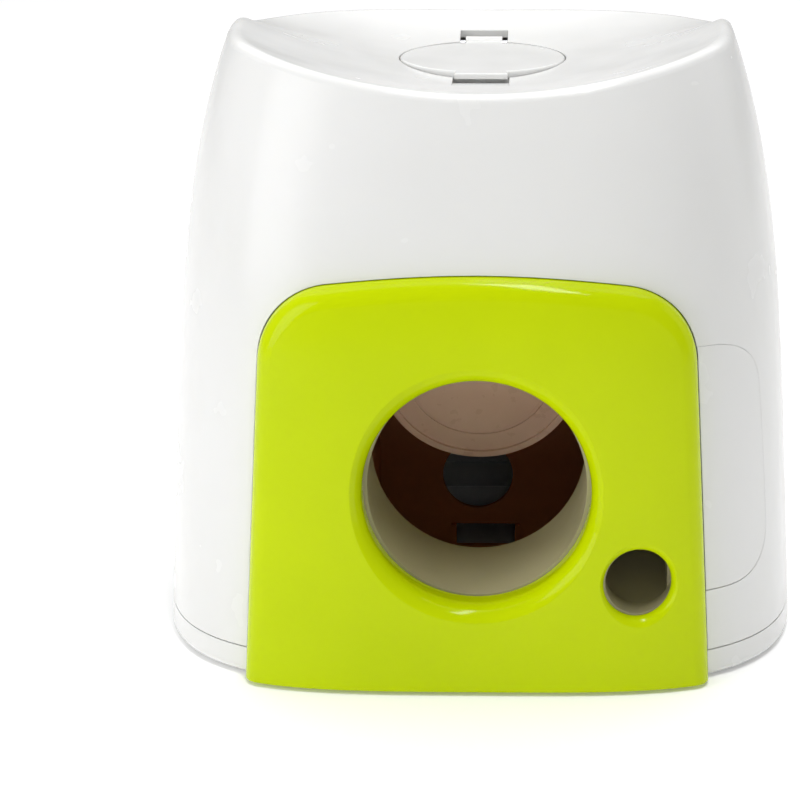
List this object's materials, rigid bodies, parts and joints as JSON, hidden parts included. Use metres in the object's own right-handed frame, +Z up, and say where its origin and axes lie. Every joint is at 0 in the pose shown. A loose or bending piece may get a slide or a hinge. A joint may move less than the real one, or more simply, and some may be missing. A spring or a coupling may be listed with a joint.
{
  "type": "ball-and-treat machine for dogs",
  "caption": "Free-standing pet toy: tall rounded white body with a saddle-shaped top and flip lid, lime front panel with a large ball opening, hanging paddle and a small treat outlet.",
  "frame": {"origin": "on the floor, under the middle of the body's bounding box", "axes": "+Z up, -Y to the front panel, +X to the right seen from the front"},
  "size_m": [0.242, 0.2318, 0.2288],
  "materials": {
    "white_gloss_abs": "moulded, polished tool, glossy",
    "lime_gloss_abs": "moulded, polished tool, high gloss",
    "amber_polypropylene": "moulded, tinted translucent brown, satin",
    "white_polypropylene": "moulded, slightly translucent, satin",
    "beige_abs": "moulded, satin gloss",
    "natural_acetal": "moulded, satin",
    "bright_steel": "turned, bright",
    "zinc_steel": "zinc plated",
    "spring_steel": "drawn wire, lightly oiled",
    "sintered_bronze": "sintered, dull",
    "grey_rubber": "moulded, matt"
  },
  "bodies": {
    "casing": {"outer_shell": "white_gloss_abs", "base_tray": "white_gloss_abs", "side_cover": "white_gloss_abs", "front_panel": "lime_gloss_abs", "ball_tunnel": "white_polypropylene", "outlet_tube": "white_polypropylene", "left_side_plate": "amber_polypropylene", "right_side_plate": "amber_polypropylene", "back_plate": "amber_polypropylene", "drum_housing": "white_polypropylene", "treat_hopper": "white_polypropylene", "treat_chute": "white_polypropylene", "lid_hinge_pin": "bright_steel", "paddle_return_spring": "spring_steel", "paddle_shaft_bushes": "sintered_bronze", "drum_shaft_bushes": "sintered_bronze", "rubber_feet": "grey_rubber", "paddle_stop_pads": "grey_rubber", "base_screws": "zinc_steel", "chassis_screws": "zinc_steel", "tunnel_screws": "zinc_steel", "hopper_screws": "zinc_steel", "housing_screws": "zinc_steel", "back_plate_screws": "zinc_steel", "chute_screws": "zinc_steel", "panel_screws": "zinc_steel"},
    "lid": {"treat_lid": "white_gloss_abs"},
    "paddle": {"ball_paddle": "beige_abs", "paddle_shaft": "bright_steel", "paddle_shaft_clips": "spring_steel", "sector_gear": "natural_acetal"},
    "drum": {"treat_drum": "beige_abs", "drum_shaft": "bright_steel", "drum_shaft_clips": "spring_steel", "drum_pinion": "natural_acetal"}
  },
  "joints": [
    {"name": "lid_hinge", "type": "hinge", "parent": "casing", "child": "lid", "pos_m": [0, 0.059, 0.2089], "axis": [-1, 0, 0], "range_deg": [0, 100]},
    {"name": "paddle_swing", "type": "hinge", "parent": "casing", "child": "paddle", "pos_m": [0, -0.05987, 0.142], "axis": [1, 0, 0], "range_deg": [0, 24], "stiffness_Nm_per_rad": 0.01, "springref_deg": -17.19, "deforming": ["paddle_return_spring"]},
    {"name": "drum_turn", "type": "hinge", "parent": "casing", "child": "drum", "pos_m": [0, 0, 0.146], "axis": [1, 0, 0], "range_deg": [-120, 0]}
  ],
  "couplings": [
    {"joint": "drum_turn", "follows": "paddle_swing", "ratio": -5}
  ]
}
